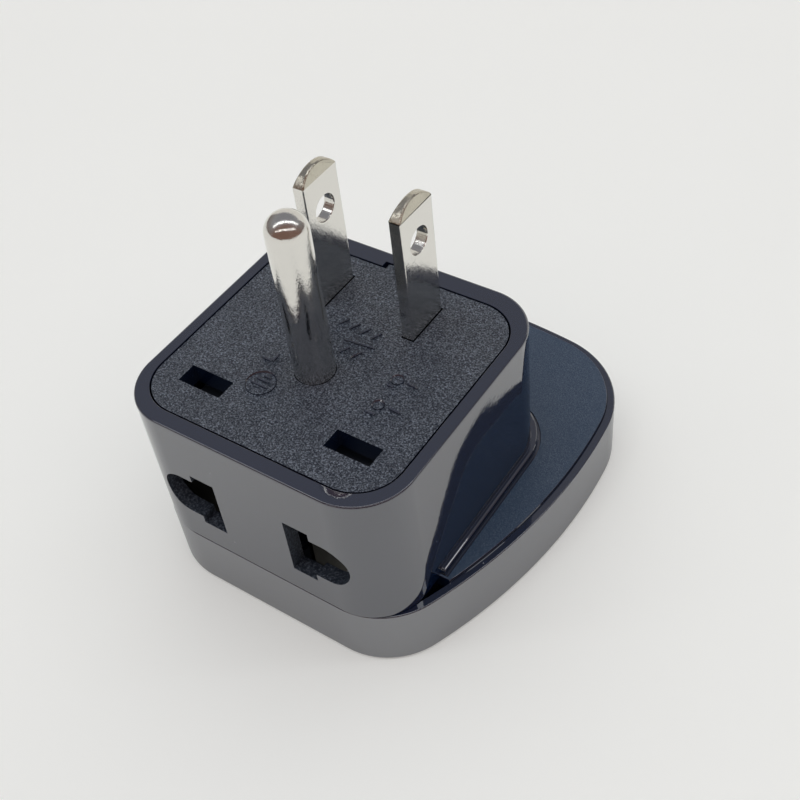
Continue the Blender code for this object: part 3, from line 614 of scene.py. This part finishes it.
def turned_solid(profile, centre, steps):
    """Spins a profile, which starts and ends on the axis, round the upright axis through a centre."""
    shape = trace(profile[0], profile[1:])
    on_axis = [edge for edge in shape.edges if max(vert.co.x for vert in edge.verts) < 0.01 * MM]
    bmesh.ops.delete(shape, geom=on_axis, context="EDGES")
    turn(shape, 90, "X")
    bmesh.ops.spin(shape, geom=shape.verts[:] + shape.edges[:], cent=(0, 0, 0), axis=(0, 0, 1),
                   angle=2 * math.pi, steps=steps, use_merge=True)
    bmesh.ops.remove_doubles(shape, verts=shape.verts, dist=0.001 * MM)
    move(shape, centre.x, centre.y, 0)
    shape.normal_update()
    bmesh.ops.recalc_face_normals(shape, faces=shape.faces)
    return shape


low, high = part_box("ground_pin")
pin_middle = (low + high) / 2 + Vector((-0.22, -0.1, 0)) * MM
PIN_RADIUS = 2.41 * MM
profile = [
    (0.0, low.z), (1.8 * MM, low.z), (2.1 * MM, low.z + 0.3 * MM), (2.1 * MM, low.z + 0.7 * MM),
    (1.5 * MM, low.z + 0.7 * MM), (1.5 * MM, LUG_BOTTOM), (3.65 * MM, LUG_BOTTOM),
    (3.8 * MM, LUG_BOTTOM + 0.15 * MM), (3.8 * MM, LUG_TOP - 0.15 * MM), (3.65 * MM, LUG_TOP),
    (PIN_RADIUS, LUG_TOP), (PIN_RADIUS, high.z - PIN_RADIUS)]
dome = ((0.0, high.z - PIN_RADIUS), 90.0, 24)
ground_pin = add_piece("ground_pin_plated", turned_solid(profile + [dome], pin_middle, 96), [nickel])
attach(ground_pin, "root")
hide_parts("ground_pin")


# ---------------------------------------------------------------------------------------------
# Plug plate: black ABS with a coarse spark-eroded texture on its top and smooth raised marks, here
# plain rings and bars.  It drops into the housing, keyed by a tab at the back, and has two windows.
# ---------------------------------------------------------------------------------------------

def spark_eroded_abs(name, base, painted_sparkle_colour, grain, depth, roughness):
    """Black ABS from a spark-eroded tool: a dense, even grain, its tips painted lighter in the colour, a
    painted highlight for the sparkle they catch, stronger in some patches than in others.  The grain is
    drawn a little coarser than the real one, in the bumps and in the colour, so that it shows."""
    material, tree, output = new_material(name)
    place = add(tree, "ShaderNodeTexCoord").outputs["Object"]
    craters = add(tree, "ShaderNodeTexNoise", {"Vector": place, "Scale": 1 / grain, "Detail": 2.0,
                                               "Roughness": 0.7})
    tips = add(tree, "ShaderNodeMapRange", {"Value": craters.outputs["Fac"], "From Min": 0.4,
                                            "From Max": 0.7})
    peaks = add(tree, "ShaderNodeMath", {0: tips.outputs[0], 1: 1.7}, operation="POWER")
    patches = add(tree, "ShaderNodeTexNoise", {"Vector": place, "Scale": 1 / (5.0 * MM), "Detail": 2.0})
    uneven = add(tree, "ShaderNodeMapRange", {
        "Value": patches.outputs["Fac"], "From Min": 0.25, "From Max": 0.75, "To Min": 0.7, "To Max": 1.0})
    # Painted highlight: the grain's tips are painted lighter as the sparkle they catch, more in some random
    # patches than in others.
    painted_sparkle = add(tree, "ShaderNodeMath", {0: peaks.outputs[0], 1: uneven.outputs[0]}, operation="MULTIPLY")
    colour = add(tree, "ShaderNodeMix", {0: painted_sparkle.outputs[0], "A": linear(base), "B": linear(painted_sparkle_colour)},
                 data_type="RGBA")
    skin = add(tree, "ShaderNodeBump", {"Height": tips.outputs[0], "Distance": depth})
    surface = add(tree, "ShaderNodeBsdfPrincipled", {
        "Base Color": colour.outputs["Result"], "Roughness": roughness, "IOR": 1.54,
        "Normal": skin.outputs[0]})
    tree.links.new(surface.outputs[0], output.inputs["Surface"])
    return material


# The plate's grain tips are painted a light blue-grey: painted sparkle.
plate_black = spark_eroded_abs("spark_eroded_black_abs", "111c2b", "98a3b2", 0.2 * MM, 0.08 * MM, 0.3)
plate_low, plate_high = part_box("plug_plate")
PLATE_BOTTOM = 26.5 * MM
PLATE_TOP = plate_high.z
PLATE_CORNER = 5.4 * MM
KEY_HALF = 3.0 * MM
KEY_DEPTH = 0.9 * MM
plate_back = plate_high.y - KEY_DEPTH
plate_front = plate_low.y
plate_half = plate_high.x

shape = block((-plate_half, plate_front, PLATE_BOTTOM), (plate_half, plate_back, PLATE_TOP), PLATE_CORNER, 16)
plug_plate = add_piece("plug_plate_moulding", shape, [plate_black, gloss_black], 0.07 * MM)
carve(plug_plate, block((-KEY_HALF, plate_back - 1 * MM, PLATE_BOTTOM + 0.2 * MM),
                        (KEY_HALF, plate_high.y, PLATE_TOP - 0.03 * MM)), "UNION")
WINDOW_X = (7.3 * MM, 13.3 * MM)
WINDOW_Y = (-19.9 * MM, -17.25 * MM)
FIT = 0.1 * MM
for side in (-1, 1):
    inner, outer = sorted((side * WINDOW_X[0], side * WINDOW_X[1]))
    carve(plug_plate, block((inner, WINDOW_Y[0], PLATE_BOTTOM - CLEAR),
                            (outer, WINDOW_Y[1], PLATE_TOP + CLEAR)))
for name in ("live_blade", "neutral_blade"):
    low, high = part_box(name)
    carve(plug_plate, block((low.x - FIT, low.y + LUG - FIT, PLATE_BOTTOM - CLEAR),
                            (high.x + FIT, high.y - LUG + FIT, PLATE_TOP + CLEAR)))
carve(plug_plate, drum(pin_middle, PIN_RADIUS + FIT / 2, PLATE_BOTTOM - CLEAR, PLATE_TOP + CLEAR, 64))
for name in ("retainer_screw_left", "retainer_screw_right"):
    low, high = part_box(name)
    centre = (low + high) / 2
    carve(plug_plate, drum(centre, 2.4 * MM, LUG_BOTTOM, PLATE_BOTTOM + 0.2 * MM), "UNION")
    carve(plug_plate, drum(centre, 1.1 * MM, LUG_BOTTOM - CLEAR, PLATE_TOP - CLEAR))
MARK_RISE = 0.17 * MM
MARK_ROOT = 0.2 * MM
MARK_LINE = 0.22 * MM


def raised_ring(centre, radius, line):
    """A low ring standing on the plate's top."""
    shape = drum(centre, radius, PLATE_TOP - MARK_ROOT, PLATE_TOP + MARK_RISE, 32)
    top = [face for face in shape.faces if face.normal.z > 0.9]
    bmesh.ops.inset_region(shape, faces=top, thickness=line)
    inner = list({vert for face in top for vert in face.verts})
    bmesh.ops.translate(shape, verts=inner, vec=(0, 0, -MARK_RISE - MARK_ROOT / 2))
    return shape


def raised_bar(centre, length, line, degrees):
    """A low bar standing on the plate's top."""
    shape = block((-length / 2, -line / 2, PLATE_TOP - MARK_ROOT),
                  (length / 2, line / 2, PLATE_TOP + MARK_RISE), line * 0.45, 3)
    turn(shape, degrees, "Z")
    move(shape, centre[0], centre[1], 0)
    return shape


# Rings as (centre, radius, line) and bars as (centre, length, degrees), in millimetres.
RINGS = [((-4.45, -15.8), 1.85, 0.2), ((8.95, -8.0), 0.8, 0.28), ((9.2, -12.2), 0.75, 0.28)]
BARS = [((-4.45, -16.13), 2.4, 0), ((-4.5, -15.35), 1.7, 0), ((-4.3, -14.7), 1.0, 0),
        ((-1.9, -3.0), 1.5, 62), ((-0.3, -3.1), 1.5, 62), ((1.3, -3.2), 1.5, 62), ((2.9, -3.3), 1.5, 62),
        ((1.9, -5.3), 4.0, 6), ((0.9, -6.9), 1.5, 62), ((2.6, -7.0), 1.5, 62),
        ((-6.2, -12.4), 1.4, 0), ((-5.4, -11.7), 1.3, 90),
        ((11.0, -8.05), 1.4, -5), ((8.75, -9.2), 0.9, 0), ((11.2, -12.1), 1.6, -3), ((9.0, -13.65), 1.4, 3)]
for centre, radius, line in RINGS:
    carve(plug_plate, raised_ring(Vector(centre) * MM, radius * MM, line * MM), "UNION")
for centre, length, degrees in BARS:
    carve(plug_plate, raised_bar(Vector(centre) * MM, length * MM, MARK_LINE, degrees), "UNION")
for polygon in plug_plate.data.polygons:
    raised = polygon.center.z > PLATE_TOP + 0.01 * MM
    upright = abs(polygon.normal.z) < 0.5 and polygon.center.z < PLATE_TOP - 0.01 * MM
    polygon.material_index = 1 if raised or upright else 0
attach(plug_plate, "root")
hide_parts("plug_plate")


# ---------------------------------------------------------------------------------------------
# Upper housing: the cube, moulded in the same gloss black ABS.  It has a foot with a finely
# textured top that drops into the base, a bead round the cube's foot and two keyholes in front.
# ---------------------------------------------------------------------------------------------

housing_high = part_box("upper_housing")[1]
body_half = 18.45 * MM
body_front = base_low.y
body_back = 10.1 * MM
BODY_CORNER = 7.1 * MM
BODY_BOTTOM = BASE_TOP + 0.1 * MM
BODY_TOP = housing_high.z
BODY_WALL = 1.85 * MM
FRONT_WALL = 2.0 * MM
FOOT_TOP = BASE_TOP + 0.45 * MM
FOOT_FRONT = -16.85 * MM
FOOT_GAP = 0.03 * MM
BEAD = 0.6 * MM
BEAD_BACK = 1.4 * MM
BEAD_CORNER = 8.0 * MM
BEAD_TOP = 10.15 * MM
BEAD_FRONT = -16.4 * MM
GROOVE = 0.38 * MM
GROOVE_DEPTH = 0.25 * MM
LEDGE_BOTTOM = 24.8 * MM
LEDGE_TOP = 26.2 * MM
LEDGE = 1.2 * MM

# The foot's grain tips are painted a lighter blue-grey: painted sparkle.
foot_black = spark_eroded_abs("fine_textured_black_abs", "233850", "5c6d80", 0.14 * MM, 0.015 * MM, 0.4)
# The keyholes' cut walls: a rougher black whose grain tips are painted light, as painted glints on the walls.
keyhole_black_painted_glints = spark_eroded_abs("rough_black_abs_painted_glints", "18202c", "6b7480", 0.25 * MM, 0.03 * MM, 0.5)

shape = block((-body_half, body_front, BODY_BOTTOM), (body_half, body_back, BODY_TOP), BODY_CORNER, 24)
soften(shape, level_edges(shape, BODY_TOP), 0.3 * MM, 4)
upper_housing = add_piece("upper_housing_shell", shape, [gloss_black, foot_black, keyhole_black_painted_glints], 0.07 * MM)
foot = base_solid(BASE_LIP + FOOT_GAP, BASE_SEAT + 0.3 * MM, FOOT_TOP)
cut = bmesh.ops.bisect_plane(foot, geom=foot.verts[:] + foot.edges[:] + foot.faces[:],
                             plane_co=(0, FOOT_FRONT, 0), plane_no=(0, -1, 0), clear_outer=True)
rim = [part for part in cut["geom_cut"] if isinstance(part, bmesh.types.BMEdge)]
bmesh.ops.contextual_create(foot, geom=rim)
soften(foot, level_edges(foot, FOOT_TOP), 0.08 * MM, 2)
flange = add_piece("flange", foot, [foot_black])


def bead_solid(grow, bottom, top):
    """A block round the cube's foot with rounded rear corners."""
    shape = block((-body_half - BEAD - grow, BEAD_FRONT - grow / 2, bottom),
                  (body_half + BEAD + grow, body_back + BEAD_BACK + grow, top))
    rear = [edge for edge in shape.edges if min(vert.co.y for vert in edge.verts) > 0
            and abs(edge.verts[0].co.z - edge.verts[1].co.z) > 0.1 * MM]
    soften(shape, rear, BEAD_CORNER + grow, 24)
    return shape


carve(flange, bead_solid(GROOVE, FOOT_TOP - GROOVE_DEPTH, FOOT_TOP + CLEAR))
shape = bmesh.new()
shape.from_mesh(flange.data)
bpy.data.objects.remove(flange)
carve(upper_housing, shape, "UNION")
bead = bead_solid(0.0, FOOT_TOP - GROOVE_DEPTH - 0.1 * MM, BEAD_TOP)
soften(bead, level_edges(bead, BEAD_TOP), 0.28 * MM, 4)
carve(upper_housing, bead, "UNION")
hollow_low = Vector((-body_half + BODY_WALL, body_front + FRONT_WALL, BASE_SEAT - CLEAR))
hollow_high = Vector((body_half - BODY_WALL, body_back - BODY_WALL, LEDGE_BOTTOM))
carve(upper_housing, block(hollow_low, hollow_high, BODY_CORNER - FRONT_WALL))
carve(upper_housing, block((-plate_half + LEDGE, plate_front + LEDGE, LEDGE_BOTTOM - CLEAR),
                           (plate_half - LEDGE, plate_back - LEDGE, LEDGE_TOP + CLEAR), 4.2 * MM))
SEAM = 0.2 * MM
KEY_GAP = 0.6 * MM
carve(upper_housing, block((-plate_half - SEAM, plate_front - SEAM, LEDGE_TOP),
                           (plate_half + SEAM, plate_back + SEAM, BODY_TOP + CLEAR),
                           PLATE_CORNER + SEAM, 16))
carve(upper_housing, block((-KEY_HALF - KEY_GAP, plate_back - CLEAR, LEDGE_TOP),
                           (KEY_HALF + KEY_GAP, plate_high.y + SEAM, BODY_TOP + CLEAR)))
SIDE_HOLE_Z = 17.2 * MM
SIDE_ARM_END = 13.3 * MM
SIDE_ARM_RADIUS = 3.15 * MM
for side in (-1, 1):
    hole = keyhole(side, SIDE_ARM_END, SIDE_ARM_RADIUS, FRONT_WALL + 2 * CLEAR)
    turn(hole, 90, "X")
    move(hole, 0, body_front + FRONT_WALL + CLEAR, SIDE_HOLE_Z)
    carve(upper_housing, hole)
RIB_HALF = 1.45 * MM
for name in case_screws:
    low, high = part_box(name)
    centre = (low + high) / 2
    front = name.endswith("front")
    boss_top = 13.2 * MM if front else BASE_SEAT + 0.6 * MM
    carve(upper_housing, drum(centre, 2.9 * MM, BASE_FLOOR + 0.3 * MM, boss_top), "UNION")
    if front:
        carve(upper_housing, block((-RIB_HALF, hollow_low.y - 0.3 * MM, FOOT_TOP + 0.3 * MM),
                                   (RIB_HALF, centre.y - RIB_HALF, boss_top)), "UNION")
    carve(upper_housing, drum(centre, SCREW_HOLE, -CLEAR, high.z + 0.3 * MM))
for polygon in upper_housing.data.polygons:
    centre = polygon.center
    on_foot = abs(centre.z - FOOT_TOP) < 0.02 * MM and polygon.normal.z > 0.9
    in_wall = body_front + 0.4 * MM < centre.y < hollow_low.y - 0.4 * MM
    in_hole = in_wall and abs(centre.z - SIDE_HOLE_Z) < 4.5 * MM and abs(centre.x) < 13.5 * MM
    # Keyhole walls take the black with painted glints.
    polygon.material_index = 1 if on_foot else 2 if in_hole else 0
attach(upper_housing, "root")
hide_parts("upper_housing")


# ---------------------------------------------------------------------------------------------
# Screws: zinc-plated steel.  Three case screws come up through the base, and two short ones hold
# the pin retainer to the plug plate.
# ---------------------------------------------------------------------------------------------

def zinc_plate(name, colour):
    """Zinc-plated steel: a satin blue-grey with cloudy passivation."""
    material, tree, output = new_material(name)
    place = add(tree, "ShaderNodeTexCoord").outputs["Object"]
    cloud = add(tree, "ShaderNodeTexNoise", {"Vector": place, "Scale": 1 / (1.2 * MM), "Detail": 3.0})
    tint = add(tree, "ShaderNodeMix", {0: cloud.outputs["Fac"], "A": linear(colour), "B": linear("a7adb3")},
               data_type="RGBA")
    dull = add(tree, "ShaderNodeMapRange", {"Value": cloud.outputs["Fac"], "To Min": 0.25, "To Max": 0.42})
    surface = add(tree, "ShaderNodeBsdfPrincipled", {
        "Base Color": tint.outputs["Result"], "Metallic": 1.0, "Roughness": dull.outputs[0]})
    tree.links.new(surface.outputs[0], output.inputs["Surface"])
    return material


zinc = zinc_plate("zinc_plated_steel", "c2c4c4")
for name in case_screws + ["retainer_screw_left", "retainer_screw_right"]:
    low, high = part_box(name)
    centre = (low + high) / 2
    head_radius = (high.x - low.x) / 2
    shank = head_radius / 2
    head_top = low.z + (0.95 * MM if name in case_screws else 1.2 * MM)
    profile = [(0.0, high.z), (shank * 0.3, high.z - shank * 0.2), (shank, high.z - shank),
               (shank, head_top), (head_radius, head_top), (head_radius, low.z + 0.5 * MM),
               (head_radius * 0.86, low.z + 0.1 * MM), (head_radius * 0.6, low.z), (0.0, low.z)]
    screw = add_piece(name + "_turned", turned_solid(profile, centre, 40), [zinc], 0.03 * MM)
    arm = head_radius * 0.6
    for angle in (35, 125):
        recess = block((-arm, -0.3 * MM, low.z - CLEAR), (arm, 0.3 * MM, low.z + 0.6 * MM))
        turn(recess, angle, "Z")
        move(recess, centre.x, centre.y, 0)
        carve(screw, recess)
    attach(screw, "root")
    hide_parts(name)
